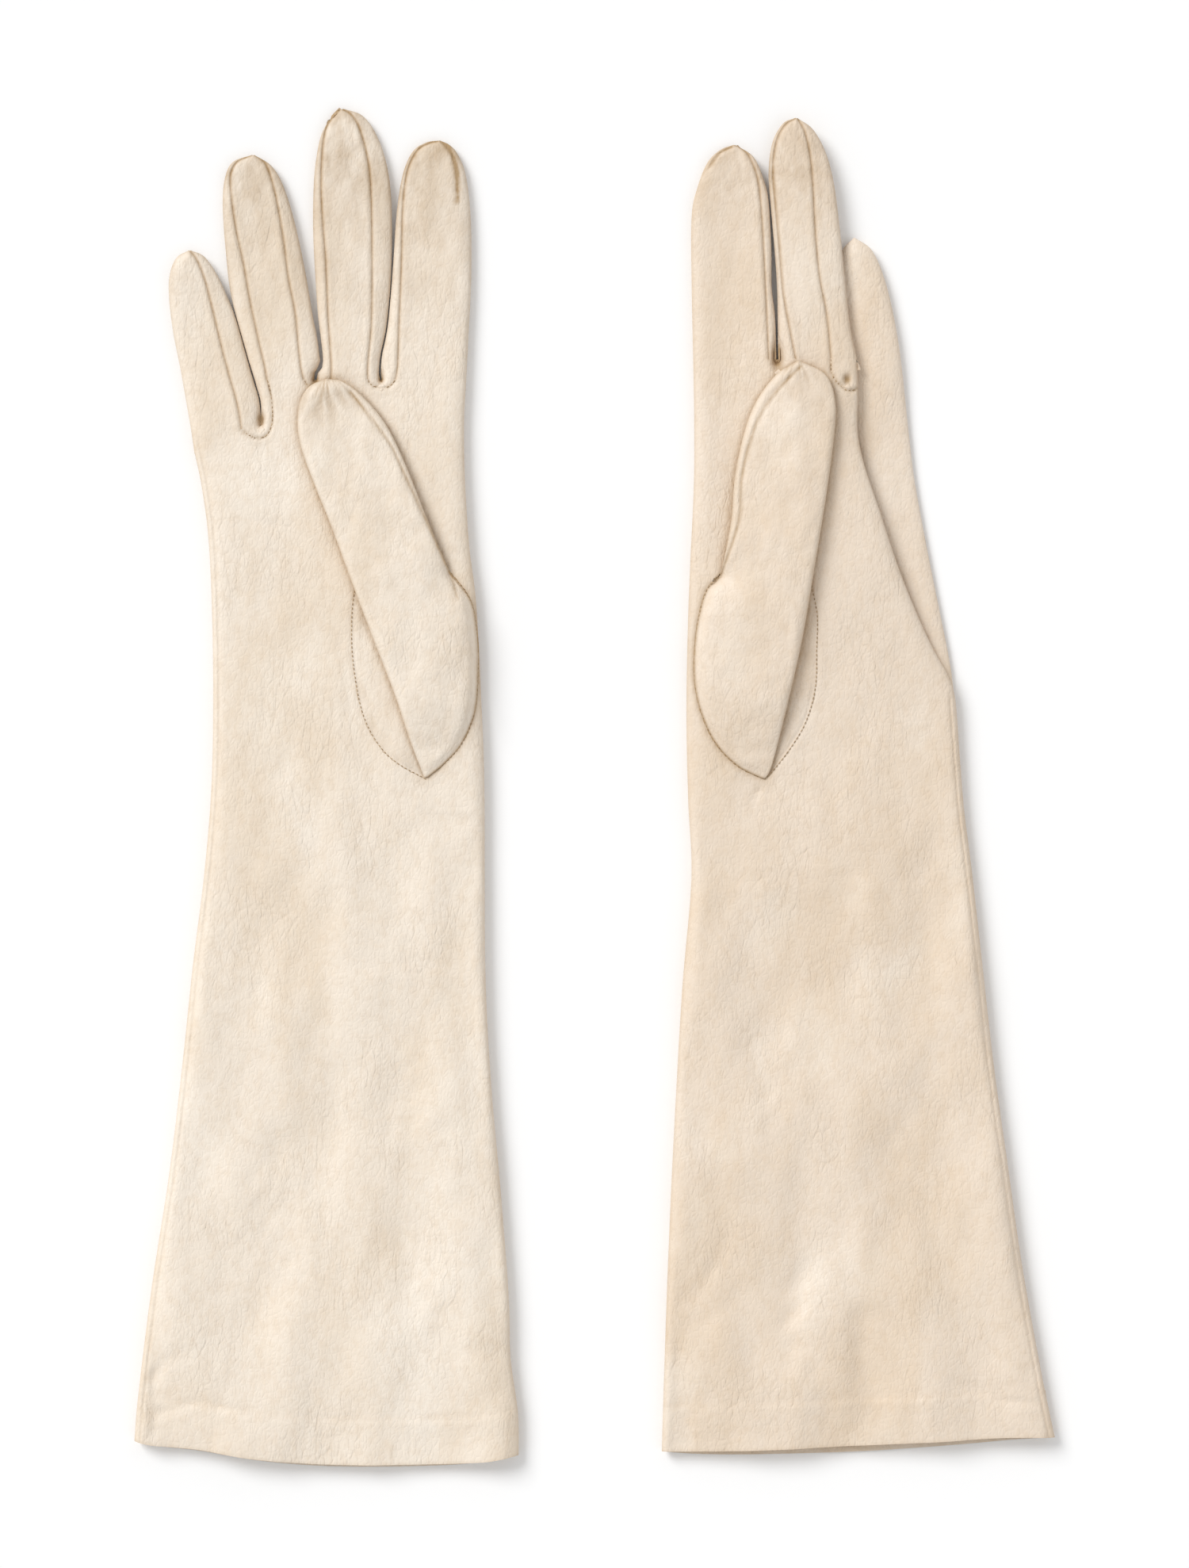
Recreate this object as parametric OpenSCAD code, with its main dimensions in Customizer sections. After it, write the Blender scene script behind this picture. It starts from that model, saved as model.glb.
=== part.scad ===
// Pair of long kid-leather gloves, laid flat with the palms up and the fingertips towards +Y.
// The origin is the middle of the pair, on the surface that it lies on.

/* [Leather] */
// Thickness of the walls, leather and seam allowance together
wall = 0.8; // [0.6:0.1:1]
// Depth of the turned hem at the cuff
hem_depth = 15; // [10:1:20]
// Width of the fourchette strips along the fingers
strip_w = 1.2; // [1:0.1:1.6]

/* [Heights when laid flat] */
// Height of the sleeve and the hand
body_h = 7; // [6.8:0.1:8]
// Height of each finger and of the thumb
finger_h = 4.6; // [4.4:0.1:4.7]
// Height of the strip that is folded under the left hand, and of the ring finger in it
under_h = 2.6; // [2.2:0.1:2.6]
// Slope of the left hand, which lies on that folded strip, in degrees
lean_angle = 3.2; // [3.2:0.1:3.6]

/* [Folds] */
// Place of the right wrist crease along the glove
wrist_r = -57.5; // [-60:0.5:-50]
// Place of the left wrist crease along the glove
wrist_l = -27.5; // [-29:0.5:-26]
// Space left at each fold and between layers
gap = 0.3; // [0.3:0.05:0.4]

/* [Hidden] */
cream = [0.94, 0.89, 0.82];
shade = [0.87, 0.80, 0.70];
pale = [0.97, 0.93, 0.87];

// Fingers: base x, base y, lean towards -X in degrees, length, half width at the base,
// belly of the left and of the right side, length of the rounded tip
index_r = [-55.2, 132, -3.6, 77.5, 13.2, 0, 0, 17];
middle_r = [-79, 132, 2, 88, 9.3, 0.8, 4.6, 18];
ring_r = [-100.4, 132, 8.2, 74, 10.2, 0.3, 1.8, 16];
little_r = [-119.4, 112, 11, 63.5, 10.4, 0.4, 0.4, 15];
thumb_r = [-57, 49.4, 19.9, 87, 14.4, 0, 0, 24];
index_l = [44, 138.5, -0.7, 69.7, 12, 0, 0, 17];
middle_l = [70.2, 138.5, 3.4, 78, 10.2, 0, 1, 18];
ring_l = [70.4, 138.5, 3.4, 65.5, 9.6, 0, 0, 16];
little_l = [95.7, 113, 8.7, 66, 6.9, 0, 0, 14];
thumb_l = [51.3, 50.7, -10.5, 88, 14.8, 0, 0, 24];

// Edges of each glove from the wrist crease to the fingers, and from the crease to the cuff
hand_r_left = [[-130.1, wrist_r], [-126.5, -30], [-124.2, 0], [-123.7, 30], [-124.1, 60],
  [-125.5, 85], [-128, 100]];
hand_r_right = [[-35.4, wrist_r], [-35.8, -30], [-35.7, 0], [-37, 30], [-38.5, 60],
  [-41, 85], [-42, 110]];
sleeve_r_left = [[-130.2, wrist_r], [-133.6, -90], [-137.5, -122], [-143, -160], [-148, -198],
  [-149.2, -212]];
sleeve_r_right = [[-35.4, wrist_r], [-33.8, -95], [-30.6, -125], [-27.8, -165], [-24.8, -203],
  [-24.6, -217]];
cuff_r = [[-149.2, -212], [-128, -214.5], [-100, -218], [-67, -219.8], [-40, -219], [-24.6, -217]];
hand_l_left = [[31, wrist_l], [30.2, 0], [30, 30], [31.2, 70], [32.2, 100], [32.1, 115]];
hand_l_right = [[122.4, wrist_l], [119.5, -5], [117.5, 20], [114.8, 34], [109, 46], [103, 59],
  [97, 75], [91.5, 92], [87, 106], [85.2, 120]];
sleeve_l_left = [[31, wrist_l], [29, -62], [26.2, -105], [24, -150], [22.4, -195], [21.8, -216]];
sleeve_l_right = [[122.5, wrist_l], [126.2, -62], [131, -104], [138.5, -155], [145.5, -192],
  [149.3, -211]];
cuff_l = [[21.8, -216], [60, -217.5], [105, -216], [149.3, -211]];
oval_r = [[-77.7, 63], [-78.2, 48], [-77.4, 34], [-74.5, 22], [-69, 13], [-54.8, 2.4],
  [-48.6, 7.5], [-43, 14], [-39.2, 23], [-38, 34], [-38, 48], [-39.5, 57], [-43, 66], [-47.5, 69]];
oval_l = [[41, 67.5], [35.2, 63], [33.4, 55], [32.2, 43], [32.6, 31], [36.7, 18], [44.5, 8.5],
  [54.8, 2.2], [64, 14], [69, 22], [71.6, 32], [71.8, 44], [71.6, 57]];
heel_r = [[-54.8, 3.4], [-48.6, 8.8], [-43.2, 15], [-40.2, 24], [-39, 36]];
fold_r = [[-64.5, 30], [-59.5, 15]];
heel_l = [[61.5, 16], [65, 33]];
fold_l = [[33.6, 42], [34, 31], [38, 19], [45.4, 9.7], [54.8, 3.4]];
pleat_l = [[103.7, 100.2], [107.3, 81], [111.4, 60.2], [114.6, 43], [116.2, 32], [112, 38],
  [97, 76], [85.6, 105]];

// ---- Outlines ----

function reverse(list) = [for (i = [len(list) - 1:-1:0]) list[i]];
function shift(points, dx) = [for (p = points) [p[0] + dx, p[1]]];

// A smooth curve through every point, three steps to a stretch
function bend(a, b, c, d, t) = 0.5 * (2 * b + (c - a) * t + (2 * a - 5 * b + 4 * c - d) * t * t
  + (3 * b - 3 * c + d - a) * t * t * t);
function curve(p, steps = 3) = concat(
  [for (i = [0:len(p) - 2], k = [0:steps - 1])
    bend(p[max(i - 1, 0)], p[i], p[i + 1], p[min(i + 2, len(p) - 1)], k / steps)],
  [p[len(p) - 1]]);

// Half width of a finger at the distance s from its base, on one side
function half_width(f, side, s) =
  let (round_from = f[3] - f[7], belly = side < 0 ? f[5] : f[6])
  (f[4] + belly * sin(180 * s / f[3])) * (s < round_from ? 1 : sqrt(max(0, 1 - pow((s - round_from) / f[7], 2))));

// A point at the distance s along a finger and w across it
function at(f, s, w) = [f[0] - s * sin(f[2]) + w * cos(f[2]), f[1] + s * cos(f[2]) + w * sin(f[2])];

// One side of a finger from its base to its tip, moved inwards by inset
function stations(f) = concat([for (k = [0:5]) k / 6 * (f[3] - f[7])], [for (a = [0:15:90]) f[3] - f[7] + f[7] * sin(a)]);
function side_line(f, side, inset = 0, from = 0) = [for (s = stations(f))
  let (reach = (f[3] - inset) / f[3], w = max(0, half_width(f, side, s) - inset * (s < f[3] ? 1 : 0)))
  at(f, max(s * reach, from), side * w)];
// Where one side of a finger starts. Three fingers of the right glove fold about one straight line
// across the hand, so the side that leans back over that line starts further out.
straight = [index_r, middle_r, ring_r];
function start(f, side) = len([for (k = straight) if (k == f) 1]) == 0 ? gap
  : max(gap, (gap - side * f[4] * sin(f[2])) / cos(f[2]));
function finger_outline(f) = concat(side_line(f, -1, 0, start(f, -1)), reverse(side_line(f, 1, 0, start(f, 1))));
function finger_inside(f) = concat(side_line(f, -1, wall, -1), reverse(side_line(f, 1, wall, -1)));
function strip_outline(f, side) =
  concat(side_line(f, side, 0, start(f, side)), reverse(side_line(f, side, strip_w, start(f, side))));

// The end of a hand where one finger leaves it, a little short of the finger
function finger_end(f) = [at(f, -gap, -f[4] - gap), at(f, -gap, f[4] + gap)];
// The mouth of that finger inside the hand
function finger_mouth(f) = [at(f, -2, wall - f[4]), at(f, 1, wall - f[4]), at(f, 1, f[4] - wall), at(f, -2, f[4] - wall)];

function hand_r_outline() = concat(curve(hand_r_left), finger_end(little_r),
  [[finger_end(ring_r)[0][0], ring_r[1] - gap], [finger_end(index_r)[1][0], index_r[1] - gap]],
  reverse(curve(hand_r_right)));
function hand_r_inside() = concat([shift(hand_r_left, wall)[0] - [0, 1]], shift(curve(hand_r_left), wall),
  finger_mouth(little_r), [at(little_r, -2, little_r[4] + 2 * wall)],
  finger_mouth(ring_r), finger_mouth(middle_r), finger_mouth(index_r),
  shift(reverse(curve(hand_r_right)), -wall), [shift(hand_r_right, -wall)[0] - [0, 1]]);
function hand_l_outline() = concat(curve(hand_l_left), finger_end(index_l), finger_end(middle_l),
  reverse(curve(hand_l_right)));
function hand_l_inside() = concat([shift(hand_l_left, wall)[0] - [0, 1]], shift(curve(hand_l_left), wall),
  finger_mouth(index_l), finger_mouth(middle_l),
  shift(reverse(curve(hand_l_right)), -1.4 * wall), [shift(hand_l_right, -1.4 * wall)[0] - [0, 1]]);

// ---- Shapes that both gloves use ----

module slab(points, low, high) {
  translate([0, 0, low]) linear_extrude(high - low) polygon(points);
}

// A flat tube of leather that is open at both ends
module tube(outline, inside) {
  difference() {
    slab(outline, 0, body_h);
    slab(inside, wall, body_h - wall);
  }
}

module sleeve(left, right, cuff, wrist) {
  crease = wrist - gap;
  lefts = [for (p = curve(left)) [p[0], min(p[1], crease)]];
  rights = [for (p = curve(right)) [p[0], min(p[1], crease)]];
  tube(concat(lefts, curve(cuff), reverse(rights)),
    concat([lefts[0] + [wall, 1]], shift(lefts, wall), [cuff[0] + [wall, -9], cuff[len(cuff) - 1] + [-wall, -9]],
      shift(reverse(rights), -wall), [rights[0] + [-wall, 1]]));
}

// The turned edge of the leather, which lines the mouth of the cuff
module hem(cuff, left_slope, right_slope) {
  a = cuff[0] + [wall, 0.2];
  b = cuff[len(cuff) - 1] + [-wall, 0.2];
  c = [b[0] + right_slope, b[1] + hem_depth];
  d = [a[0] + left_slope, a[1] + hem_depth];
  difference() {
    slab([a, b, c, d], wall, body_h - wall);
    slab([a + [0.5, -1], b + [-0.5, -1], c + [-0.5, 1], d + [0.5, 1]], wall + 0.5, body_h - wall - 0.5);
  }
}

// The seam allowance that stands inwards from the outer edge at half height
module seam(edge, from, to, side) {
  run = [for (p = curve(edge)) if (p[1] > from && p[1] < to) [p[0] + side * wall, p[1]]];
  slab(concat(run, shift(reverse(run), side * 2.5)), (body_h - wall) / 2, (body_h + wall) / 2);
}

// The fork between two fingers that leave the hand side by side
function fork(a, b) = (at(a, -3.2, a[4]) + at(b, -3.2, -b[4])) / 2;

// A small diamond that widens a fork
module quirk(p) {
  slab([p + [-2.2, 0], p + [0, -3.5], p + [2.2, 0], p + [0, 0.6]], wall, body_h - wall);
}

module palm_panel(f, low, high) {
  slab(finger_outline(f), high - wall, high);
}

module back_panel(f, low) {
  slab(finger_outline(f), low, low + wall);
}

module side_strip(f, side, low, high) {
  slab(strip_outline(f, side), low + wall, high - wall);
}

// The thumb is one piece of leather, folded over along its outer side
module thumb_shell(f, low) {
  difference() {
    slab(finger_outline(f), low, low + finger_h);
    slab(finger_inside(f), low + wall, low + finger_h - wall);
  }
}

// Places a piece of the left hand on the slope that its palm lies at
module on_slope() {
  translate([hand_l_left[0][0], 0, 0]) rotate([0, -lean_angle, 0]) translate([-hand_l_left[0][0], 0, 0]) children();
}

// ---- Right glove ----

module sleeve_r() { color(cream) sleeve(sleeve_r_left, sleeve_r_right, cuff_r, wrist_r); }
module sleeve_seam_r() { color(shade) seam(sleeve_r_left, -196, wrist_r - 2, 1); }
module hem_r() { color(pale) hem(cuff_r, 1.7, -0.7); }
module hand_r() { color(cream) tube(hand_r_outline(), hand_r_inside()); }
module hand_seam_r() { color(shade) seam(hand_r_left, wrist_r + 2, 98, 1); }
module quirks_r() {
  color(shade) {
    quirk(at(little_r, -3.4, little_r[4]));
    quirk(fork(ring_r, middle_r));
    quirk(fork(middle_r, index_r));
  }
}
module thumb_hole_r() { color(shade) slab(curve(oval_r, 2), body_h, body_h + wall / 2); }
module thumb_base_r() {
  color(pale) slab(concat([at(thumb_r, -gap, -thumb_r[4])], fold_r, heel_r, [at(thumb_r, -gap, thumb_r[4])]),
    body_h + wall / 2, body_h + gap + finger_h);
}
module thumb_tube_r() { color(pale) thumb_shell(thumb_r, body_h + wall / 2 + gap); }
module index_palm_r() {
  color(cream) {
    palm_panel(index_r, 0, finger_h);
    side_strip(index_r, 1, 0, finger_h);
  }
}
module index_back_r() { color(cream) back_panel(index_r, 0); }
module index_fourchette_r() { color(shade) side_strip(index_r, -1, 0, finger_h); }
module middle_palm_r() { color(cream) palm_panel(middle_r, 0, finger_h); }
module middle_back_r() { color(cream) back_panel(middle_r, 0); }
module middle_fourchette_a_r() { color(shade) side_strip(middle_r, 1, 0, finger_h); }
module middle_fourchette_b_r() { color(shade) side_strip(middle_r, -1, 0, finger_h); }
module ring_palm_r() { color(cream) palm_panel(ring_r, 0, finger_h); }
module ring_back_r() { color(cream) back_panel(ring_r, 0); }
module ring_fourchette_a_r() { color(shade) side_strip(ring_r, 1, 0, finger_h); }
module ring_fourchette_b_r() { color(shade) side_strip(ring_r, -1, 0, finger_h); }
module little_palm_r() {
  color(cream) {
    palm_panel(little_r, 0, finger_h);
    side_strip(little_r, -1, 0, finger_h);
  }
}
module little_back_r() { color(cream) back_panel(little_r, 0); }
module little_fourchette_r() { color(shade) side_strip(little_r, 1, 0, finger_h); }

// ---- Left glove, with the ring finger and the outer strip of the hand folded under ----

over = under_h + gap;
module sleeve_l() { color(cream) sleeve(sleeve_l_left, sleeve_l_right, cuff_l, wrist_l); }
module sleeve_seam_l() { color(shade) seam(sleeve_l_right, -196, wrist_l - 2, -1); }
module hem_l() { color(pale) hem(cuff_l, 0.7, -3.7); }
module hand_l() { color(cream) on_slope() tube(hand_l_outline(), hand_l_inside()); }
module pleat_under_l() {
  color(shade) slab(concat([at(little_l, -gap, -little_l[4]), at(little_l, -gap, little_l[4])], pleat_l), 0, under_h);
}
module hand_seam_l() { color(shade) on_slope() seam([for (i = [0:2]) hand_l_right[i]], wrist_l + 2, 18, -1.4); }
module quirks_l() {
  color(shade) on_slope() quirk(fork(index_l, middle_l));
}
module thumb_hole_l() { color(shade) on_slope() slab(curve(oval_l, 2), body_h, body_h + wall / 2); }
module thumb_base_l() {
  color(pale) on_slope() slab(concat([at(thumb_l, -gap, -thumb_l[4])], fold_l, heel_l, [at(thumb_l, -gap, thumb_l[4])]),
    body_h + wall / 2, body_h + gap + finger_h);
}
module thumb_tube_l() { color(pale) on_slope() thumb_shell(thumb_l, body_h + wall / 2 + gap); }
module index_palm_l() {
  color(cream) {
    palm_panel(index_l, 0, finger_h);
    side_strip(index_l, -1, 0, finger_h);
  }
}
module index_back_l() { color(cream) back_panel(index_l, 0); }
module index_fourchette_l() { color(shade) side_strip(index_l, 1, 0, finger_h); }
module middle_palm_l() { color(cream) palm_panel(middle_l, over, over + finger_h); }
module middle_back_l() { color(cream) back_panel(middle_l, over); }
module middle_fourchette_a_l() { color(shade) side_strip(middle_l, -1, over, over + finger_h); }
module middle_fourchette_b_l() { color(shade) side_strip(middle_l, 1, over, over + finger_h); }
module ring_palm_l() { color(cream) palm_panel(ring_l, 0, under_h); }
module ring_back_l() { color(cream) back_panel(ring_l, 0); }
module ring_fourchette_a_l() { color(shade) side_strip(ring_l, -1, 0, under_h); }
module ring_fourchette_b_l() { color(shade) side_strip(ring_l, 1, 0, under_h); }
module little_palm_l() {
  color(cream) {
    palm_panel(little_l, 0, finger_h);
    side_strip(little_l, 1, 0, finger_h);
  }
}
module little_back_l() { color(cream) back_panel(little_l, 0); }
module little_fourchette_l() { color(shade) side_strip(little_l, -1, 0, finger_h); }

sleeve_r();
sleeve_seam_r();
hem_r();
hand_r();
hand_seam_r();
quirks_r();
thumb_hole_r();
thumb_base_r();
thumb_tube_r();
index_palm_r();
index_back_r();
index_fourchette_r();
middle_palm_r();
middle_back_r();
middle_fourchette_a_r();
middle_fourchette_b_r();
ring_palm_r();
ring_back_r();
ring_fourchette_a_r();
ring_fourchette_b_r();
little_palm_r();
little_back_r();
little_fourchette_r();
sleeve_l();
sleeve_seam_l();
hem_l();
hand_l();
pleat_under_l();
hand_seam_l();
quirks_l();
thumb_hole_l();
thumb_base_l();
thumb_tube_l();
index_palm_l();
index_back_l();
index_fourchette_l();
middle_palm_l();
middle_back_l();
middle_fourchette_a_l();
middle_fourchette_b_l();
ring_palm_l();
ring_back_l();
ring_fourchette_a_l();
ring_fourchette_b_l();
little_palm_l();
little_back_l();
little_fourchette_l();
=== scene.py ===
import math

import bpy
import numpy as np
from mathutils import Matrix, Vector


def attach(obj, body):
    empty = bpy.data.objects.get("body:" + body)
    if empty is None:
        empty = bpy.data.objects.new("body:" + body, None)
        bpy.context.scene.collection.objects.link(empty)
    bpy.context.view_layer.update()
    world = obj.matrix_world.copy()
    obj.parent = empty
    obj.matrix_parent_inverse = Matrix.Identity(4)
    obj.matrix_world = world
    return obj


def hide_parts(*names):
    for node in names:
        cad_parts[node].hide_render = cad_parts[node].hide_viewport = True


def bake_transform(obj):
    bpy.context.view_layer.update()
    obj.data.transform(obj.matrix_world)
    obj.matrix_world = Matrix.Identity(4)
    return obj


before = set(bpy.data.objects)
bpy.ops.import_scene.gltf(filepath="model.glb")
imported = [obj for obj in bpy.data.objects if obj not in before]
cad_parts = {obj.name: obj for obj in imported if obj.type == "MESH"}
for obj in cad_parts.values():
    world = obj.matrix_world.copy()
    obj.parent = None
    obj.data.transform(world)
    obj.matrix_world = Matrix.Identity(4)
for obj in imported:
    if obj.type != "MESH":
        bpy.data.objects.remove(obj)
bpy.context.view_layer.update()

mm = 0.001


# Control points run from the base to the tip, or from the cuff to the fingers
rightGlove = {
    "hand": "r",
    "outer": [(-149.2, -212), (-148, -198), (-143.5, -162), (-137.8, -125), (-133.6, -90),
              (-130.2, -58), (-126.5, -28), (-124.2, 0), (-123.6, 30), (-124.1, 60), (-125.3, 82),
              (-127.5, 98), (-129.6, 108), (-130.2, 111.5)],
    "inner": [(-24.6, -216.6), (-24.8, -203), (-27.2, -185), (-27.8, -165), (-30.5, -130), (-33.6, -95),
              (-35.4, -58), (-35.7, 0), (-36.8, 30), (-38.4, 60), (-40.6, 78), (-42, 100), (-42.3, 118),
              (-41.6, 132)],
    "cuff": [(-149.2, -212), (-143, -213.4), (-128, -214.8), (-110, -217.6), (-88, -219.4),
             (-60, -219.6), (-38, -218.8), (-24.6, -216.6)],
    "slit": [(-108.2, 117.4), (-108.1, 120), (-108.3, 125), (-109.5, 129.5), (-110.2, 132)],
    "littleTilt": 15,       # degrees that the little finger leans out
    "baseY": 132,
    "trankTop": 117.4,
    "wristY": -58,
    "seeds": {"palm": 0, "back": 20, "thumb": 90, "ball": 130},
}
leftGlove = {
    "hand": "l",
    "outer": [(149.3, -210.8), (148.4, -207), (144.5, -188), (138.6, -155), (133.6, -120), (129.4, -90),
              (126, -60), (122.3, -27), (119.9, -8), (118.4, 10), (117, 28), (114.6, 36), (109.6, 45),
              (104, 57), (98, 72), (92.4, 89), (87.4, 104), (85.2, 115), (85.3, 127), (84.9, 138.5)],
    "inner": [(21.8, -215.4), (22.4, -195), (23.8, -155), (25.6, -115), (28.4, -66), (31.4, -30),
              (30.4, -5), (29.8, 22), (30.2, 50), (31, 72), (32.2, 98), (32.3, 120), (32, 138.5)],
    "cuff": [(21.8, -215.4), (40, -215.2), (62, -214.4), (90, -213.2), (118, -211.6), (136, -210.6),
             (149.3, -210.8)],
    "baseY": 138.5,
    "trankTop": 138.5,
    "wristY": -30,
    "seeds": {"palm": 40, "back": 60, "thumb": 110, "ball": 150},
}
fingersR = {
    "little": {
        "left": [(-130.2, 111.5), (-131.2, 118), (-134.4, 136), (-136.6, 147), (-138, 158.5),
                 (-137.8, 166), (-135.6, 171.6), (-131.6, 174)],
        "seamR": [(-114.3, 115.8), (-114.9, 120), (-115.9, 125), (-118.9, 135.5), (-121.6, 146),
                  (-124.4, 157.5), (-126.8, 166), (-129.2, 171.4), (-131.2, 173.7)],
        "right": [(-108.2, 117.4), (-108.3, 121), (-108.9, 126), (-110.4, 131), (-112.7, 139),
                  (-116.4, 152), (-119.4, 159.6), (-122.6, 166.4), (-126.6, 172), (-131, 174)],
    },
    "ring": {
        "left": [(-110.2, 132), (-112.8, 140.5), (-117.8, 159), (-119.6, 173.6), (-120.6, 188),
                 (-120, 197), (-117.4, 202.6), (-111, 205)],
        "seamL": [(-106.1, 132), (-107, 137), (-109, 145.5), (-111.6, 157.6), (-113.6, 169),
                  (-116.2, 181), (-117.7, 192), (-117.9, 198.4), (-115.8, 202.6), (-111.2, 204.8)],
        "seamR": [(-94.2, 132), (-95.2, 136.5), (-95.9, 143), (-97, 154), (-99, 164), (-101, 179),
                  (-103, 190), (-105.2, 198.6), (-107.4, 202.9), (-110.2, 204.8)],
        "right": [(-91, 132), (-91, 133.6), (-90, 135.6), (-89, 137.4), (-89.2, 140), (-90, 146),
                  (-91.4, 153), (-94, 168), (-97.4, 183.6), (-101, 195), (-104.8, 201.4), (-110.4, 205)],
    },
    "middle": {
        "left": [(-90.1, 132), (-89.7, 134.2), (-88.3, 136), (-88.1, 139), (-88.6, 144), (-89.7, 153),
                 (-90.4, 163), (-91.2, 178), (-91.2, 192), (-90.4, 203), (-88, 213), (-82.4, 220)],
        "seamL": [(-85.2, 132), (-85.3, 138), (-85.6, 143), (-86.3, 153), (-87, 170), (-88.3, 188),
                  (-88.5, 200), (-87.6, 211), (-85.6, 216.6), (-82.6, 219.7)],
        "seamR": [(-73.4, 132), (-73.4, 137), (-72.7, 144), (-72.2, 151), (-72, 170), (-72.4, 193),
                  (-73.6, 204), (-76, 213), (-78.6, 217.6), (-81.6, 219.7)],
        "right": [(-69.5, 132), (-69.9, 134.5), (-69.4, 140), (-67.4, 150), (-65.9, 168), (-65.9, 190),
                  (-67.6, 202.6), (-71, 212), (-75.4, 217.8), (-81.6, 220)],
    },
    "index": {
        "left": [(-69, 132), (-69.3, 134.5), (-68.9, 140), (-67, 150), (-65.3, 170), (-64.2, 186),
                 (-62.2, 198.6), (-59, 206), (-54.6, 209), (-50.6, 209.6)],
        "seamL": [(-64.4, 132), (-63.7, 136), (-63.5, 142), (-63.2, 151), (-62.8, 161), (-62.4, 173),
                  (-62, 189), (-60.6, 199.4), (-57.6, 206), (-54.2, 208.4), (-51, 209.4)],
        "right": [(-41.6, 132), (-41, 144), (-40, 165), (-40.2, 185), (-41.8, 198.6), (-44.4, 205.2),
                  (-47, 208.2), (-50, 209.6)],
    },
}
fingersL = {
    "index": {
        "left": [(32, 138.5), (31.5, 163), (31.5, 185), (33.4, 194.4), (36.6, 202.4), (40.8, 206.6),
                 (45, 208.2)],
        "seamR": [(56.4, 138.5), (55.8, 152), (55, 170), (54, 187), (52.8, 197), (50.4, 203.8),
                  (48, 206.8), (45.6, 208)],
        "right": [(58.9, 138.5), (58.5, 152), (57.4, 162), (57.3, 174), (56.4, 190), (54.6, 197.6),
                  (51.4, 204.4), (45.6, 208.2)],
    },
    "middle": {
        "left": [(59.5, 138.5), (59.3, 152), (59.1, 162), (58.3, 174), (57.2, 187), (56.4, 199),
                 (57.6, 208.6), (61, 214.8), (65, 216.6)],
        "seamL": [(65, 138.5), (62.8, 150), (61.1, 160), (60.1, 172), (58.8, 187), (57.8, 199),
                  (58.8, 208.2), (61.6, 214), (65.2, 216.4)],
        "seamR": [(76.5, 138.5), (75.6, 149), (74.6, 156), (73, 164), (71.6, 178), (70.8, 193),
                  (69.8, 204), (68, 212), (65.8, 216.2)],
        "right": [(84.9, 138.5), (83.3, 146), (82.3, 153), (81, 165), (79.4, 181), (77.4, 196),
                  (74.6, 206), (70.6, 213), (65.6, 216.6)],
    },
    "ring": {
        "left": [(62, 138.5), (61, 160), (60, 182), (61.6, 196), (67, 203.6)],
        "right": [(81, 138.5), (79.4, 160), (77, 182), (74, 196), (67.4, 203.6)],
    },
    "little": {
        "left": [(85.4, 111), (81.8, 131), (79.6, 149), (78.8, 164), (80.2, 173.6), (84, 178)],
        "right": [(102, 114.8), (101, 124), (99.2, 140), (97, 153), (94, 165), (90, 174), (84.6, 178)],
    },
}
thumbs = {
    "r": {
        "left": [(-55, 2.8), (-59.6, 15), (-64.6, 30), (-71.4, 47.6), (-78, 65), (-85, 84), (-91, 99),
                 (-95.4, 112), (-95.6, 123), (-92.2, 129.4), (-87, 131.8)],
        "right": [(-54.4, 2.8), (-48.6, 7.6), (-43, 14), (-39, 23.4), (-37.8, 34), (-38, 48), (-40, 60),
                  (-46.4, 69), (-54, 86.4), (-61, 104), (-67.6, 117.4), (-76, 127.4), (-81, 131),
                  (-86, 131.8)],
        "spine": (-57, 49.4, 19.9, 0),
        "sewnSide": "right",
        "hole": [(-46.4, 69), (-62, 76), (-73, 73), (-77.6, 63), (-78.6, 48), (-77.2, 33.6),
                 (-74.4, 22), (-69.4, 13), (-63.4, 7.4), (-54.8, 2.6)],
        "seam": [(-44.4, 60.6), (-45.2, 64), (-46.8, 69), (-54.6, 86.4), (-61.4, 101), (-66, 110.6),
                 (-73.2, 120.4), (-79, 127.6)],
    },
    "l": {
        "left": [(54.6, 2.6), (46, 7), (38.6, 15), (33.8, 26.6), (32.2, 38), (33.2, 52), (36.2, 63.4),
                 (40.4, 68), (44, 85), (45.2, 99), (48, 113), (52, 124), (58.6, 133), (65.4, 137.4)],
        "right": [(55, 2.4), (57.4, 7), (62.2, 26), (67, 47.4), (71, 71), (74.8, 94.4), (77.4, 114),
                  (77.6, 125), (74.6, 133), (66.4, 137.4)],
        "spine": (51.3, 50.7, -10.5, 0),
        "sewnSide": "left",
        "hole": [(40.4, 68), (52, 77), (66, 74), (71.6, 58), (71.8, 44), (71.4, 32), (68.6, 21.6),
                 (64, 13.4), (57.6, 5), (55, 2.4)],
        "seam": [(40.8, 68), (46.6, 86), (47.4, 99), (50.4, 112), (54.4, 121.6), (61, 130),
                 (66.4, 135.4)],
    },
}
pleat = {
    "left": [(111.6, 35), (103, 56), (96, 74), (90, 92), (85.4, 111)],
    "right": [(117, 28), (115.2, 41), (111.6, 59), (107.4, 80), (103.8, 100), (102, 114.8)],
}


def smooth(points, steps=10):
    # A curve through every point
    p = np.array(points, float)
    p = np.vstack([2 * p[0] - p[1], p, 2 * p[-1] - p[-2]])
    t = np.arange(steps)[:, None] / steps
    a, b, c, d = p[:-3], p[1:-2], p[2:-1], p[3:]
    runs = [0.5 * (2 * b[i] + (c[i] - a[i]) * t + (2 * a[i] - 5 * b[i] + 4 * c[i] - d[i]) * t * t
                   + (3 * b[i] - 3 * c[i] + d[i] - a[i]) * t ** 3) for i in range(len(a))]
    return np.vstack(runs + [p[-2:-1]])


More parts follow.
